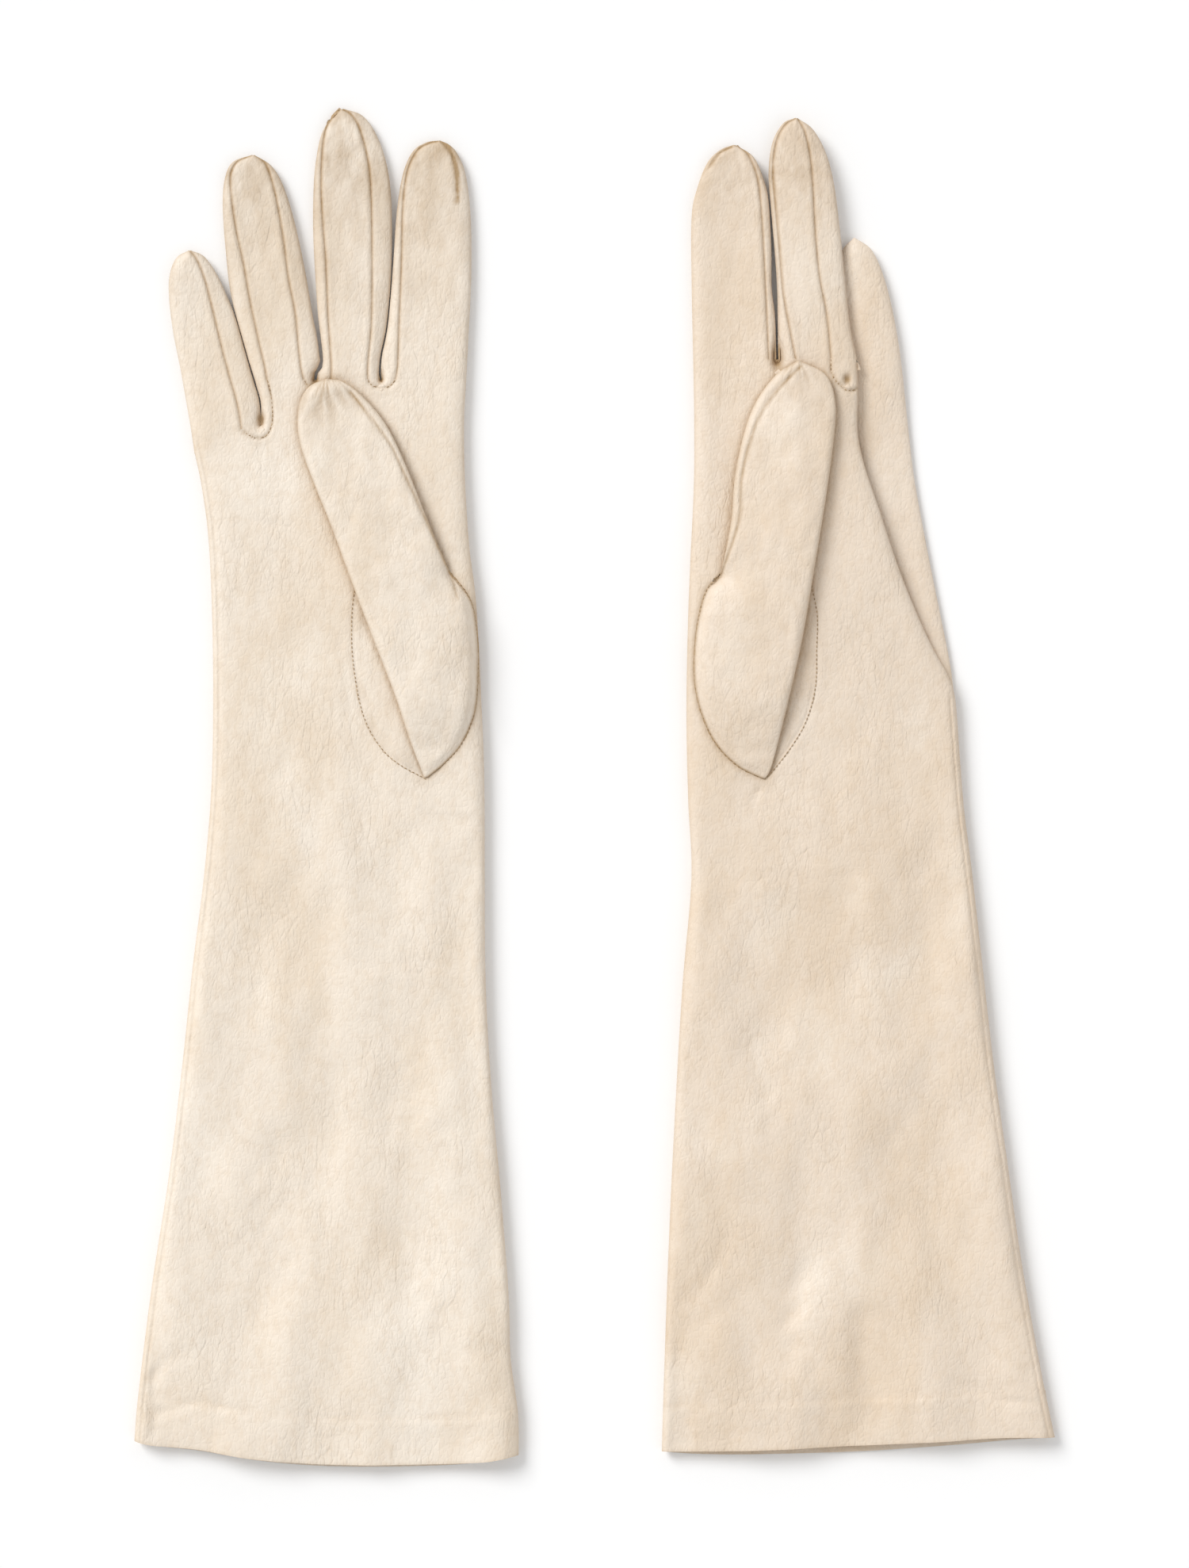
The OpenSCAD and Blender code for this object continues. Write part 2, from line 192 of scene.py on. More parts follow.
def spaced(curve, where):
    # Points of a curve at shares of its length
    step = np.r_[0, np.cumsum(np.linalg.norm(np.diff(curve, axis=0), axis=1))]
    return np.stack([np.interp(where * step[-1], step, curve[:, k]) for k in (0, 1)], axis=1)


def edgeX(points, y):
    line = smooth(points)
    order = np.argsort(line[:, 1])
    return np.interp(y, line[order, 1], line[order, 0])


def distance(x, y, lines):
    # From each point to the nearest of some polylines
    best = np.full(x.shape, 1e9)
    for line in lines:
        low, high = line.min(0) - 12, line.max(0) + 12
        near = (x > low[0]) & (x < high[0]) & (y > low[1]) & (y < high[1])
        px, py, least = x[near], y[near], best[near]
        for (ax, ay), (bx, by) in zip(line[:-1], line[1:]):
            dx, dy = bx - ax, by - ay
            long = max(dx * dx + dy * dy, 1e-9)
            t = np.clip(((px - ax) * dx + (py - ay) * dy) / long, 0, 1)
            least = np.minimum(least, (px - ax - t * dx) ** 2 + (py - ay - t * dy) ** 2)
        best[near] = least
    return np.sqrt(best)


def ramp(v):
    v = np.clip(v, 0, 1)
    return v * v * (3 - 2 * v)


def bell(d, wide):
    # 1 at a line and nearly 0 at twice the width from it
    return np.exp(-(d / wide) ** 2)


chance = np.random.default_rng(11)
lattice = np.tile(chance.permutation(256), 2)
turns = chance.random(256) * 2 * math.pi


def noise(x, y, seed=0):
    # Smooth noise between about -1 and 1, one unit from hill to hollow
    x, y = x + seed * 17.3, y + seed * 9.7
    xi, yi = np.floor(x).astype(int), np.floor(y).astype(int)
    fx, fy = x - xi, y - yi
    u, v = fx ** 3 * (fx * (fx * 6 - 15) + 10), fy ** 3 * (fy * (fy * 6 - 15) + 10)

    def corner(i, j):
        turn = turns[lattice[lattice[(xi + i) & 255] + ((yi + j) & 255)]]
        return np.cos(turn) * (fx - i) + np.sin(turn) * (fy - j)

    low = corner(0, 0) * (1 - u) + corner(1, 0) * u
    high = corner(0, 1) * (1 - u) + corner(1, 1) * u
    return 1.5 * (low * (1 - v) + high * v)


def folds(x, y, across, along, angle, seed):
    # Sharp little ridges, longer one way than the other
    c, s = math.cos(math.radians(angle)), math.sin(math.radians(angle))
    px, py = (x * c + y * s) / across, (y * c - x * s) / along
    bend = 0.6 * noise(px * 0.6, py * 0.6, seed + 5)
    return 0.5 - np.abs(noise(px + bend, py + bend, seed))


def crease(x, y, line, depth, width):
    # A dent along a line that fades at both ends
    line = smooth(line, 6)
    d = distance(x, y, [line])
    middle = (line[0] + line[-1]) / 2
    half = np.linalg.norm(line[-1] - line[0]) / 2
    fade = 1 - ramp((np.hypot(x - middle[0], y - middle[1]) / half - 0.55) / 0.45)
    return -depth * np.exp(-(d / width) ** 2) * fade


relief = {                  # heights in mm
    "broad": 2.0,           # soft hollows of the sleeve
    "middling": 0.42,
    "small": 0.17,          # fine ridges, leaning one way and then the other
    "pulled": 0.13,         # lines along the hand
    "tips": 0.2,
    "wrist": 0.24,
    "sides": 0.3,
    "seamDip": 0.5,
    "pucker": 0.16,
    "hemDepth": 15,
    "sideSeam": 2.0,        # mm in from the outer edge
    "thumbHollow": 0.9,
}
creasesR = [
    ([(-60, -6), (-50, -10), (-36, -11)], 0.6, 0.8), ([(-66, -14), (-52, -15), (-36.5, -13)], 0.45, 0.9),
    ([(-120, -55), (-90, -58), (-60, -57), (-36, -58)], 0.3, 1.5),
    ([(-118, -62), (-80, -64), (-50, -62)], 0.2, 1.1),
    ([(-79, 62), (-77, 40), (-80, 18)], 0.35, 4), ([(-92, 15), (-86, 5), (-88, -12)], 0.3, 5),
    ([(-122, 96), (-108, 86), (-96, 84)], 0.3, 1.4), ([(-62, -70), (-58, -95), (-66, -120)], 0.8, 7),
    ([(-100, -105), (-104, -140), (-96, -175)], 0.9, 9), ([(-60, -135), (-52, -160), (-48, -190)], 0.8, 8),
    ([(-148, -196), (-138, -186), (-126, -182)], 0.9, 1.3),
    ([(-143, -211), (-141, -203), (-143, -196), (-140, -186)], 0.9, 1),
    ([(-146, -204), (-130, -200), (-112, -202)], 0.7, 1.4),
    ([(-58, -112), (-46, -110), (-36, -114)], 0.5, 1.2),
    ([(-149, -197), (-146, -199), (-143.4, -203), (-142.6, -212)], 1.1, 0.9),
    ([(-27, -186), (-38, -182), (-50, -186)], 0.6, 1.8),
    ([(-26, -194), (-34, -198), (-46, -200)], 0.4, 1.4),
    ([(-30, -126), (-38, -124), (-46, -128)], 0.4, 1.2),
]
creasesL = [
    ([(33, -29), (60, -30), (90, -28), (121, -30)], 0.38, 1.3),
    ([(34, -36), (62, -37), (92, -35), (120, -37)], 0.26, 1.1),
    ([(60, -24), (88, -23), (116, -25)], 0.25, 1.2), ([(54.4, 1), (52, -3), (50, -8)], 0.9, 0.6),
    ([(100, 20), (96, -5), (98, -22)], 0.35, 5), ([(78, 20), (76, 0), (78, -18)], 0.25, 4),
    ([(60, -70), (56, -100), (60, -125)], 0.8, 8), ([(96, -90), (102, -120), (110, -150)], 0.7, 8),
    ([(68, -150), (64, -172), (70, -198)], 1.6, 5), ([(88, -165), (86, -180), (90, -198)], 0.9, 5),
    ([(24, -170), (36, -160), (44, -140)], 0.8, 1.8),
    ([(23, -178), (38, -172), (52, -158)], 0.4, 2), ([(146, -192), (132, -186), (118, -172)], 0.5, 1.8),
    ([(147, -200), (130, -198), (112, -190)], 0.7, 1.4),
    ([(29.6, -216), (29.8, -206), (29.4, -200.5)], 0.8, 0.9),
    ([(139, -158), (126, -150), (116, -136)], 0.4, 2),
    ([(30, -176), (34, -150), (30, -120)], 0.4, 3),
]


def openFingers(glove, fingers):
    # Ring and little finger of the left glove are folded under it
    folded = ("ring", "little") if glove["hand"] == "l" else ()
    return {name: finger for name, finger in fingers.items() if name not in folded}


def outlineOf(glove, fingers):
    # Every edge that the leather turns under at: the sides, the fingers and the slits between them
    lines = [smooth(glove["outer"]), smooth(glove["inner"])]
    for finger in openFingers(glove, fingers).values():
        lines += [smooth(finger["left"], 6), smooth(finger["right"], 6)]
    if "slit" in glove:
        lines.append(smooth(glove["slit"]))
    return lines


# The seam goes round the bottom of each fork in a U, with a small hole above it
forkSeams = {
    "r": [[(-114.3, 115.8), (-113, 114.6), (-110.9, 113.3), (-109.1, 112.8), (-107.3, 113.1), (-105.8, 114.2),
           (-104.7, 116.5), (-104.3, 120), (-104.6, 125), (-105.4, 130), (-106.1, 132)],
          [(-94.2, 132), (-93.4, 130.6), (-92, 129.6), (-90, 129.2), (-87.6, 129.8), (-85.9, 131),
           (-85.2, 132)],
          [(-73.4, 132), (-72.9, 130.9), (-71.9, 129.9), (-70.2, 129.3), (-68.3, 129.1), (-66.6, 129.6),
           (-65.3, 130.7), (-64.4, 132)]],
    "l": [[(76.5, 138.5), (76.6, 134), (78.2, 131), (80.9, 128.4), (83.1, 128), (84.9, 128.8)]],
}
forkHoles = {
    # x, y, half width, half height, depth
    "r": [(-108.2, 119, 1.1, 2.2, 1.8), (-90.5, 132.2, 1, 2, 2), (-69.2, 132.4, 0.8, 1.8, 1.8)],
    "l": [(81.6, 131.7, 1.1, 1.6, 1.6), (59.2, 139, 1.5, 4, 3.6)],
}
# Short seams that close the folded side of a fingertip
tipDarts = {
    "r": [[(-49.6, 209.2), (-46.6, 206), (-45, 201), (-44.3, 195.6), (-44.6, 189.6)]],
    "l": [[(44.4, 207.4), (40.6, 205.4), (37.2, 201)]],
}


def seamsOf(glove, fingers):
    lines = [smooth(line, 6) for line in forkSeams[glove["hand"]] + tipDarts[glove["hand"]]]
    for finger in openFingers(glove, fingers).values():
        lines += [smooth(finger[k], 6) for k in ("seamL", "seamR") if k in finger]
    return lines


def setUp(glove, fingers):
    glove["edges"] = outlineOf(glove, fingers)
    glove["seams"] = seamsOf(glove, fingers)
    glove["darts"] = [smooth(line, 6) for line in tipDarts[glove["hand"]]]
    glove["forkEnds"] = forkHoles[glove["hand"]]
    thumb = thumbs[glove["hand"]]
    thumb["sewn"] = thumb[thumb["sewnSide"]][:8]        # the base of one edge is sewn into the palm
    glove["hole"] = [smooth(thumb["hole"]), smooth(thumb["sewn"])]
    glove["thumbEdge"] = [smooth(thumb["left"]), smooth(thumb["right"])]
    glove["creases"] = creasesR if glove["hand"] == "r" else creasesL
    side = smooth(glove["outer"], 4)
    glove["sideLine"] = [side if glove["hand"] == "r" else side[side[:, 1] < 30]]


def liftOf(glove, x, y):
    # The left palm rides up over the strip that is folded under it
    if glove["hand"] == "r":
        return 0 * x
    return 2.9 * ramp((y - 18) / 70) * ramp((x - 42) / 26)


def halfHeight(y):
    return np.interp(y, [-220, -190, -60, -20, 70, 128, 150, 222], [2.5, 3.1, 3.1, 2.9, 3.1, 2.5, 2.2, 1.7])


def rounded(d, reach):
    t = np.clip(d / reach, 0, 1)
    return (1 - (1 - t) ** 2.3) ** (1 / 2.3)


def wrinkles(glove, x, y):
    lean = 1 if glove["hand"] == "r" else -1
    seed = glove["seeds"]["palm"]
    sleeve = 1 - ramp((y + 40) / 60)
    fingers = ramp((y - 120) / 20)
    z = relief["broad"] * (0.2 + 0.8 * sleeve) * (1 - 0.8 * fingers) * noise(x / 21, y / 52, seed + 1)
    z = z + relief["middling"] * (0.55 + 0.45 * sleeve) * noise(x / 9, y / 15, seed + 2)
    patches = 0.3 + 0.7 * ramp(0.35 + 1.1 * noise(x / 22, y / 26, seed + 8))
    z = z + relief["small"] * patches * folds(x, y, 3.2, 8, 22 * lean, seed + 3)
    patches = ramp(0.3 + noise(x / 16, y / 22, seed + 9))
    z = z + relief["small"] * patches * folds(x, y, 2.6, 8, -42, seed + 4)
    z = z + relief["pulled"] * (1 - sleeve) * folds(x, y, 1.9, 14, 2, seed + 7)
    crumple = folds(x, y, 2.2, 9, 30, seed + 10) + 0.7 * folds(x, y, 2, 7, -35, seed + 11)
    z = z + relief["tips"] * ramp((y - 165) / 25) * crumple
    z = z + relief["wrist"] * bell(y - glove["wristY"], 24) * folds(x, y, 17, 2.6, 0, seed + 6)
    inwards = np.minimum(np.abs(x - edgeX(glove["outer"], y)), np.abs(x - edgeX(glove["inner"], y)))
    lean = 18 if glove["hand"] == "r" else -24
    z = z + relief["sides"] * bell(inwards, 13) * sleeve * folds(x, y, 9, 3, lean, seed + 12)
    wave = 1.6 * noise(x / 12, y / 40, seed + 13)
    for line, depth, width in glove["creases"]:
        z = z + crease(x, y + wave, line, depth, width) * (0.75 + 0.5 * noise(x / 5, y / 5, seed + 14))
    return z


def reachOf(y):
    # How far in from an edge the leather has turned flat
    return np.interp(y, [-60, 60, 130, 150], [5.5, 6, 5.5, 4.5])


def aboveHem(glove, x, y):
    # Distance over the line that the hem is stitched along
    cuff = smooth(glove["cuff"])
    return y - np.interp(x, cuff[:, 0], cuff[:, 1]) - relief["hemDepth"]


def hemStep(glove, x, y):
    # The turned hem lies double, with a stitched line at its top
    up = aboveHem(glove, x, y)
    double = (1 - ramp(up / 1.4 + 0.5)) * (0.26 + 0.3 * folds(x, y, 2.4, 14, 3, 15))
    gathers = 0.5 + 0.7 * noise(x / 5, y / 9, 17)
    return double - 0.4 * gathers * bell(up, 0.9)


def insideOval(glove, x, y):
    # 1 inside the thumb hole and 0 outside
    ring = np.vstack(glove["hole"])
    inside = np.zeros(x.shape, bool)
    near = (x > ring[:, 0].min()) & (x < ring[:, 0].max()) & (y > ring[:, 1].min()) & (y < ring[:, 1].max())
    px, py = x[near], y[near]
    hit = np.zeros(px.shape, bool)
    for (ax, ay), (bx, by) in zip(ring, np.roll(ring, -1, axis=0)):
        if ay != by:
            hit ^= ((ay > py) != (by > py)) & (px < (bx - ax) * (py - ay) / (by - ay) + ax)
    inside[near] = hit
    return inside.astype(float)


def palmZ(glove, x, y, plain=False, hollow=True):
    # Height of the palm side over the table
    d = distance(x, y, glove["edges"])
    half = halfHeight(y)
    z = liftOf(glove, x, y) + half + half * rounded(d, reachOf(y))
    if plain:
        return z
    rim = ramp(d / 0.9)
    z = z + (wrinkles(glove, x, y) + hemStep(glove, x, y)) * ramp(d / 5)
    seam = distance(x, y, glove["seams"])
    z = z - rim * (relief["seamDip"] * bell(seam, 0.42) - 0.16 * bell(seam - 1.3, 0.8))
    z = z + relief["pucker"] * noise((x + y) / 1.9, (x - y) / 2.4, 71) * bell(seam, 2.6) * rim
    side = distance(x, y, glove["sideLine"])
    z = z - 0.34 * bell(side - relief["sideSeam"], 0.4)
    if hollow:      # sunk under the ball of the thumb, with a slight ridge round it
        hole = distance(x, y, glove["hole"])
        z = z + rim * 0.16 * bell(hole - 1.6, 0.8)
        z = z - relief["thumbHollow"] * ramp(insideOval(glove, x, y) * hole / 1.6)
    for fx, fy, wide, tall, deep in glove["forkEnds"]:
        z = z - deep * bell(x - fx, wide) * bell(y - fy, tall)
    return z


def backZ(glove, x, y):
    # Height of the side that lies on the table
    d = distance(x, y, glove["edges"])
    half = halfHeight(y)
    z = liftOf(glove, x, y) + half - half * rounded(d, reachOf(y))
    return z + 0.25 * ramp(d / 6) * (0.6 + noise(x / 14, y / 22, glove["seeds"]["back"]))


leather = {                 # mm
    "thickness": 0.6,
    "thumbThickness": 0.35,
    "turnedThickness": 0.4,
    "quirkThickness": 0.25,
    "rowStep": 1.5,
    "columnStep": 1.3,
    "weld": 0.03,
}


def addGrid(points, dark):
    # A grid primitive whose corners are then moved to their places
    rows, cols = points.shape[:2]
    bpy.ops.mesh.primitive_grid_add(x_subdivisions=cols - 1, y_subdivisions=rows - 1, size=1)
    grid = bpy.context.object
    grid.data.vertices.foreach_set("co", (points * mm).reshape(-1))
    # Soil and painted shade, as a share of the seam colour
    mark = grid.data.attributes.new("soilAndShadeMark", "FLOAT", "POINT")
    mark.data.foreach_set("value", dark.reshape(-1))
    grid.data.update()
    return grid


def faced(side, points, dark=None):
    # Faces point outwards: up on the palm side and down on the back
    dark = np.zeros(points.shape[:2]) if dark is None else dark
    return (points, dark) if side > 0 else (points[:, ::-1], dark[:, ::-1])


def makeLeather(name, grids, thickness=leather["thickness"]):
    # Joins grids into one skin and gives it the thickness of the leather, inwards
    bpy.ops.object.select_all(action="DESELECT")
    made = [addGrid(*grid) for grid in grids]
    for grid in made:
        grid.select_set(True)
    bpy.context.view_layer.objects.active = made[0]
    if len(made) > 1:
        bpy.ops.object.join()
    skin = bpy.context.object
    skin.name = skin.data.name = name
    bpy.ops.object.mode_set(mode="EDIT")
    bpy.ops.mesh.select_all(action="SELECT")
    bpy.ops.mesh.remove_doubles(threshold=leather["weld"] * mm)
    bpy.ops.mesh.dissolve_degenerate(threshold=leather["weld"] * mm)
    bpy.ops.object.mode_set(mode="OBJECT")
    wall = skin.modifiers.new("wall", "SOLIDIFY")
    wall.thickness = thickness * mm
    wall.offset = -1
    bpy.ops.object.modifier_apply(modifier=wall.name)
    bpy.ops.object.shade_smooth_by_angle(angle=math.radians(50))
    while skin.data.uv_layers:
        skin.data.uv_layers.remove(skin.data.uv_layers[0])
    return skin


def darkness(glove, x, y):
    # How dark a place is painted: soil at seams, the side seam and the hem line, tan patches on the
    # fingertips, a darker line along the cuff's rim, and painted shade along every edge, round the thumb,
    # deep in the forks and in fine wrinkle lines near the fingertips
    right = glove["hand"] == "r"
    seam = distance(x, y, glove["seams"])
    edge = distance(x, y, glove["edges"])
    # Darker along the seams, their own colour, and painted shade along every edge where the leather turns
    # under
    dark = 0.5 * bell(seam, 0.4) + 0.1 * bell(seam, 1.8) + 0.26 * bell(edge, 0.6)
    dark = dark + (0.6 if right else 0.15) * bell(distance(x, y, glove["darts"]), 0.7)
    # Painted shade deep in each fork
    for fx, fy, wide, tall, _ in glove["forkEnds"]:
        dark = dark + 1.3 * bell(x - fx, wide) * bell(y - fy, tall)
    # Painted shadow round the thumb where it lies on the palm
    rim = distance(x, y, glove["thumbEdge"])
    dark = dark + 0.46 * bell(rim, 0.9) + 0.12 * bell(rim, 3)
    patch = ramp(0.5 + 1.2 * noise(x / 6, y / 13, 5 if right else 6))
    dark = dark + (0.15 if right else 0.05) * ramp((y - 135) / 40) * (0.4 + patch)
    dark = dark + 0.14 * ramp((y - 182) / 20) * ramp(0.3 + 1.4 * noise(x / 4, y / 7, 9))
    # Dark lines near the fingertips: painted shade standing in for fine wrinkles too small for the mesh
    lines = folds(x, y, 2.6, 11, 14, 7) + 0.7 * folds(x, y, 2.4, 9, -30, 8)
    dark = dark + 0.22 * np.clip(lines, -0.2, 1) * ramp((y - 174) / 24)
    side = distance(x, y, glove["sideLine"])
    dark = dark + 0.12 * bell(side - relief["sideSeam"], 0.5)
    up = aboveHem(glove, x, y)
    dark = dark + (0.07 + 0.1 * noise(x / 6, y / 6, 18)) * bell(up, 0.9)
    dark = dark + 0.2 * bell(up + relief["hemDepth"], 0.7)
    return np.clip(dark, 0, 1)


def skinGrid(glove, plan, side):
    x, y = plan[..., 0], plan[..., 1]
    z = palmZ(glove, x, y) if side > 0 else backZ(glove, x, y)
    return np.dstack([x, y, z]), darkness(glove, x, y)


def closeIn(count):
    # Shares from 0 to 1, closer together at both ends
    t = np.linspace(0, 1, count)
    return 0.5 - 0.5 * np.cos(math.pi * t) * (0.65 + 0.35 * np.abs(2 * t - 1))


def sheetPlan(left, right, rows, shares):
    # Places of a sheet that spans from one edge to the other
    a, b = spaced(smooth(left), rows), spaced(smooth(right), rows)
    return a[:, None, :] * (1 - shares[None, :, None]) + b[:, None, :] * shares[None, :, None]


trank = {                   # mm
    "edgeSteps": [0, 0.12, 0.4, 0.8, 1.15, 1.45, 1.75, 2.05, 2.4, 3, 3.9, 5.1, 6.5],   # in from an edge
    "palmWidth": 87,
    "cuffY": -215,
    "cuffRise": 40,         # over this the rows even out from the line of the cuff
    "backDrop": {"r": 1.1, "l": 2.3},       # how far the back shows below the palm side at the cuff
    "forkX": (-90, -69),    # right glove, where finer columns meet the forks
}


def columnShares(width, low=True, high=True):
    # Columns across a sheet, packed towards the edges that turn under
    packed = np.array(trank["edgeSteps"])
    start = packed if low else np.array([0.0])
    stop = width - (packed[::-1] if high else np.array([0.0]))
    count = max(2, int(round((stop[0] - start[-1]) / leather["columnStep"])))
    return np.r_[start[:-1], np.linspace(start[-1], stop[0], count + 1), stop[1:]] / width


def steps(*runs):
    # Places from one bound to the next, each run with a spacing of its own
    places = [np.array([runs[0][0]], float)]
    for low, high, spacing in runs:
        places.append(np.linspace(low, high, int(round((high - low) / spacing)) + 1)[1:])
    return np.concatenate(places)


def trankColumns(glove, outer, inner):
    # The right glove's columns meet the slit beside the little finger, and are finer towards each fork
    width = trank["palmWidth"]
    if glove["hand"] == "l":
        return columnShares(width), 0
    split = (glove["slit"][0][0] - outer) / (inner - outer)
    shares = np.r_[columnShares(split * width, True, False) * split,
                   split + columnShares((1 - split) * width, False, True)[1:] * (1 - split)]
    forks = [split] + [(x - outer) / (inner - outer) for x in trank["forkX"]]
    middles = (shares[:-1] + shares[1:]) / 2
    return np.sort(np.r_[shares, [m for m in middles if min(abs(m - f) for f in forks) < 0.06]]), split


def makeTrank(glove):
    # Sleeve and hand are one skin: a palm sheet and a back sheet, joined down both sides
    right = glove["hand"] == "r"
    top, bottom = glove["trankTop"], trank["cuffY"]
    rows = steps((bottom, -199, 1.1), (-199, -10, 2.2), (-10, top - 13, 1.3), (top - 13, top, 0.7))
    outer, inner = edgeX(glove["outer"], top), edgeX(glove["inner"], top)
    shares, split = trankColumns(glove, outer, inner)
    cuff = smooth(glove["cuff"])
    cuffShare = (cuff[:, 0] - cuff[0, 0]) / (cuff[-1, 0] - cuff[0, 0])
    plans = []
    for side in (1, -1):
        share, base = np.meshgrid(shares, rows)
        drop = np.interp(share, cuffShare, cuff[:, 1]) - bottom
        if side < 0:
            drop = drop - trank["backDrop"][glove["hand"]] * np.sin(math.pi * share) ** 0.5
        y = base + drop * ramp(1 - (base - bottom) / trank["cuffRise"])
        if right:
            slope = (inner - outer) * math.tan(math.radians(glove["littleTilt"]))
            y = y + np.minimum(share - split, 0) * slope * ramp((base - 60) / (top - 60))
        low, high = edgeX(glove["outer"], y), edgeX(glove["inner"], y)
        if not right:
            low, high = high, low
        plans.append((side, np.dstack([low + (high - low) * share, y])))
    if right:
        upShares = (shares[shares >= split - 1e-9] - split) / (1 - split)
        share, y = np.meshgrid(upShares, steps((top, glove["baseY"], 0.8)))
        low, high = edgeX(glove["slit"], y), edgeX(glove["inner"], y)
        plan = np.dstack([low + (high - low) * share, y])
        plans += [(1, plan), (-1, plan)]
    grids = [faced(side, *skinGrid(glove, plan, side)) for side, plan in plans]
    return makeLeather("trank_" + glove["hand"], grids)


hemShape = {"inset": 0.9, "rows": [0, 0.5, 1.2, 2.4], "slopes": {"r": (0.12, -0.03), "l": (0.02, -0.15)}}


def makeHem(glove):
    # The turned edge, which lines the mouth of the cuff and rolls over its rim
    cuff = smooth(glove["cuff"])
    depths = np.r_[hemShape["rows"], np.linspace(4, relief["hemDepth"], 8)]
    share, deep = np.meshgrid(columnShares(trank["palmWidth"]), depths)
    lowSlope, highSlope = hemShape["slopes"][glove["hand"]]
    low = cuff[0, 0] + hemShape["inset"] + deep * lowSlope
    high = cuff[-1, 0] - hemShape["inset"] + deep * highSlope
    x = low + (high - low) * share
    y = np.interp(x, cuff[:, 0], cuff[:, 1]) + deep + 0.1
    d = distance(x, y, glove["edges"])
    half = halfHeight(y)
    tucked = 0.4 + 0.5 * ramp(deep / 1.5)
    grids = []
    for side in (1, -1):
        skin = palmZ(glove, x, y) if side > 0 else backZ(glove, x, y)
        flat = rounded(np.maximum(d - hemShape["inset"], 0), 2.5)
        z = half + side * np.maximum((side * (skin - half) - tucked) * flat, 0)
        grids.append(faced(side, np.dstack([x, y, z])))
    return makeLeather("hem_" + glove["hand"], grids, leather["turnedThickness"])


def fingerRows(finger):
    long = np.linalg.norm(np.diff(smooth(finger["left"], 6), axis=0), axis=1).sum()
    t = np.linspace(0, 1, int(long / leather["rowStep"]))
    return 0.55 * t + 0.45 * (1 - (1 - t) ** 2)


def stripPlan(finger, a, b, shares):
    return sheetPlan(finger[a], finger[b], fingerRows(finger), shares)


def tongueOf(plan, long):
    # Three rows more before the first, to be tucked into the piece below
    return plan[:1] + (plan[0] - plan[1]) * np.array([3.0, 2.0, 1.0])[:, None, None] * long


def makeFinger(glove, name, finger):
    # Palm and back panels belong to the trank, and the strips between them are the fourchettes
    inward = np.array([0, 0.04, 0.12, 0.22, 0.34, 0.48, 0.62, 0.75, 0.87, 0.95, 1])
    left, right = finger.get("seamL"), finger.get("seamR")
    a, b = ("seamL" if left else "left"), ("seamR" if right else "right")
    across = closeIn(20 if left and right else 24)
    layout = {"leather": (a, b, across)}
    if left:
        layout["fourchetteA"] = ("left", "seamL", inward)
    if right:
        layout["fourchetteB"] = ("seamR", "right", 1 - inward[::-1])
    pieces = {}
    for part, (a, b, shares) in layout.items():
        plan = stripPlan(finger, a, b, shares)
        back = tongueOf(plan, 0.55)
        grids = []
        for side in (1, -1):
            points, dark = skinGrid(glove, plan, side)
            # The tongue takes the same soil and painted shade as the rest
            tongue, tongueSoilAndShade = skinGrid(glove, back, side)       # tucked in under the trank
            tongue[..., 2] -= side * np.array([0.5, 0.4, 0.2])[:, None]
            grids.append(faced(side, np.concatenate([tongue, points]), np.concatenate([tongueSoilAndShade, dark])))
        pieces[part] = makeLeather(f"{name}_{part}_{glove['hand']}", grids)
    return pieces


def stripZ(x, y, side):
    # Height of the folded strip and the little finger of the left glove, which lie under the palm
    little = fingersL["little"]
    d = distance(x, y, [smooth(shape[k]) for shape in (pleat, little) for k in ("left", "right")])
    cover = edgeX(leftGlove["outer"] + fingersL["middle"]["right"][1:], y)
    half = 1.25 + 0.7 * ramp((x - cover + 1) / 8) * ramp((y - 112) / 30)
    z = half + side * half * rounded(d, 3.8)
    if side < 0:
        return z + 0.1 * ramp(d / 4)
    crumple = 0.2 * folds(x, y, 2.8, 8, 25, 35) + 0.16 * folds(x, y, 2.4, 7, -40, 36)
    return z + ramp(d / 3) * (0.22 * noise(x / 7, y / 13, 33) + crumple)


def ringZ(x, y, side):
    d = distance(x, y, [smooth(fingersL["ring"]["left"]), smooth(fingersL["ring"]["right"])])
    return 1.25 + side * 1.2 * rounded(d, 4)


def makeUnder(name, plan, heightAt, tongue=False):
    if tongue:
        plan = np.concatenate([tongueOf(plan, 0.5), plan])
    x, y = plan[..., 0], plan[..., 1]
    grids = []
    for side in (1, -1):
        z = heightAt(x, y, side)
        if tongue:
            z[:3] -= side * np.array([0.4, 0.3, 0.15])[:, None]
        grids.append(faced(side, np.dstack([x, y, z])))
    return makeLeather(name, grids)


thumbShape = {              # mm
    "half": 2.1,
    "least": 0.5,
    "sewnRise": 16,         # it fills out over this from the sewn side
    "rest": 0.75,           # lies this far over the palm
    "turn": 3.4,
    "gather": {"r": 0.9, "l": 0.54},        # pleats that run together at the tip
    "gatherReach": {"r": 12, "l": 9},
}


def thumbHeights(glove, thumb, x, y):
    d = distance(x, y, glove["thumbEdge"])
    sewn = distance(x, y, [smooth(thumb["sewn"])])
    bottom = np.hypot(x - thumb["left"][0][0], y - thumb["left"][0][1])
    rise = np.clip(sewn / thumbShape["sewnRise"], 0, 1) ** 0.75
    half = thumbShape["half"] * (1 - (1 - rise) ** 2) * ramp(bottom / 30 + 0.06)
    half = np.maximum(half * (1 - 0.25 * ramp((y - 95) / 40)), thumbShape["least"])
    free = ramp(sewn / 3) * ramp(bottom / 8)
    base = palmZ(glove, x, y, plain=True) + thumbShape["rest"] * free - 0.3 * (1 - free)
    return d, sewn, half, base


